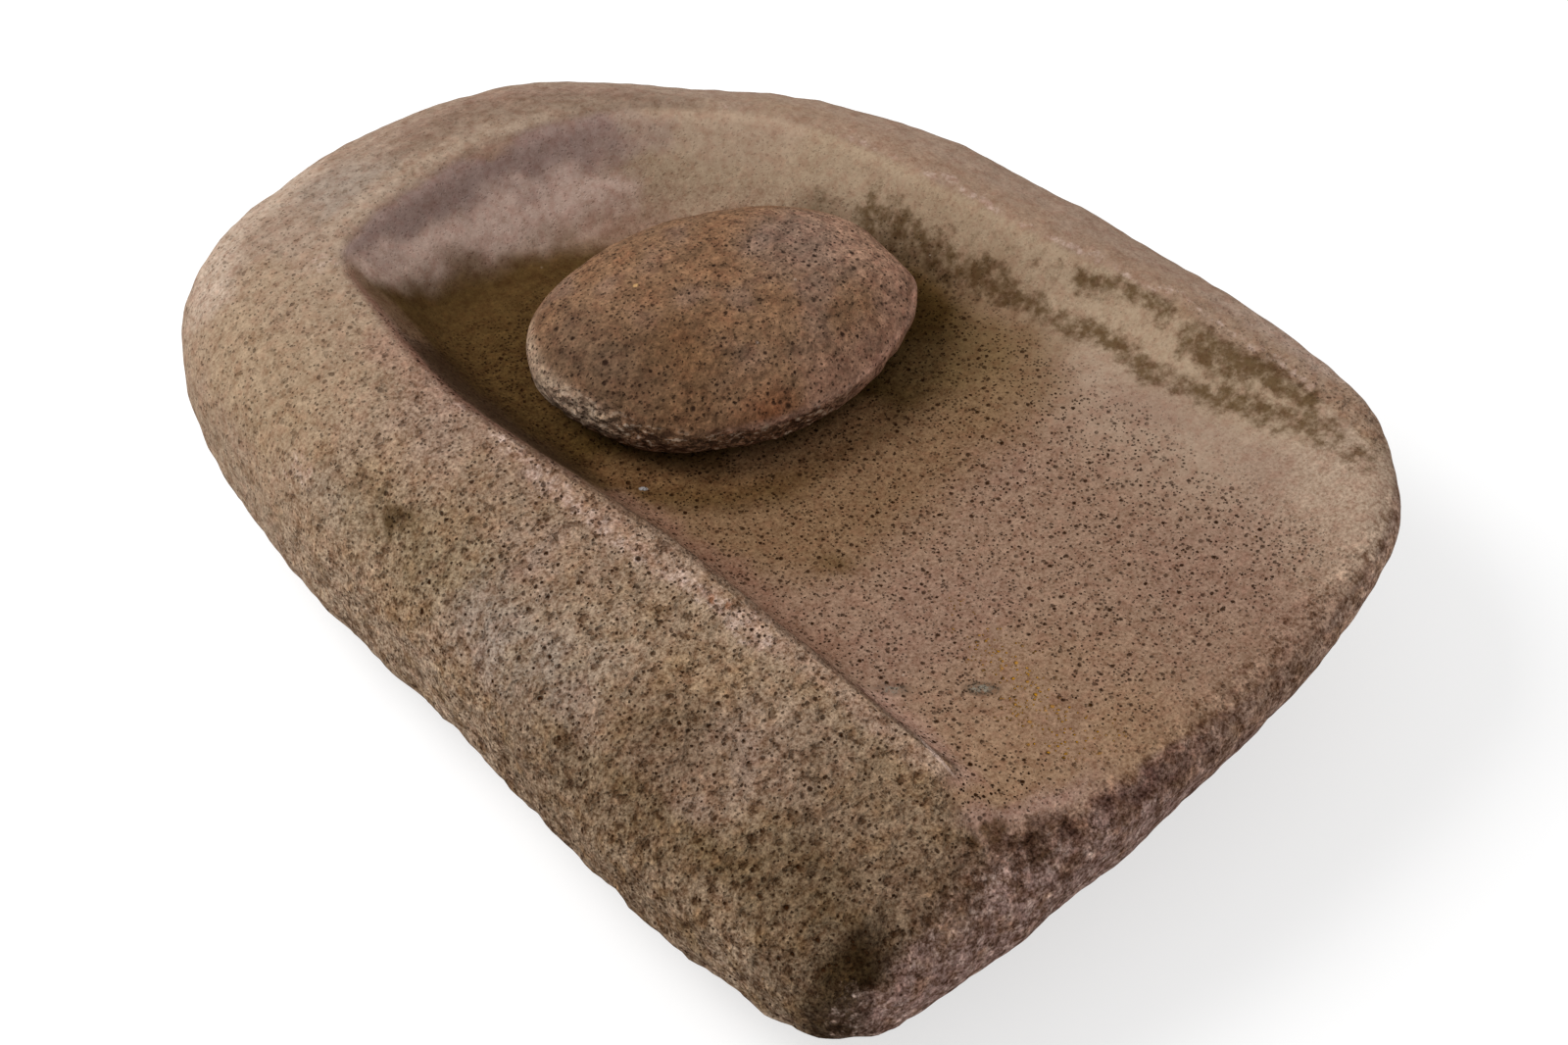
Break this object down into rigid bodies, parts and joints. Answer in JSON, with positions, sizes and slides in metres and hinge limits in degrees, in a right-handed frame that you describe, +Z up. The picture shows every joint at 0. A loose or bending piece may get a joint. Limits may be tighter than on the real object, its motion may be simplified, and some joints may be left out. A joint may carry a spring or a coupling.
{
  "type": "metate grinding stone",
  "caption": "Trough metate: a boulder with a hollow worn into its top, closed at one end and open at the other, with its oval mano, a loose hand stone that slides along it to grind grain.",
  "frame": {"origin": "on the ground, under the middle of the boulder's box", "axes": "+Y along the boulder, from the hollow's open end to its closed end; +X across it, from the narrow high wall to the broad low wall; +Z up"},
  "size_m": [0.336, 0.444, 0.1194],
  "materials": {
    "metate_stone": "coarse pored tan and grey-brown volcanic stone, worn smooth in the hollow",
    "mano_stone": "reddish brown volcanic stone with fine dark pores, rubbed smooth"
  },
  "bodies": {
    "metate": {"metate": "metate_stone"},
    "mano": {"mano": "mano_stone"}
  },
  "joints": [
    {"name": "grinding_stroke", "type": "slide", "parent": "metate", "child": "mano", "axis": [0, -0.9998, 0.0203], "range_m": [-0.02, 0.13]}
  ]
}
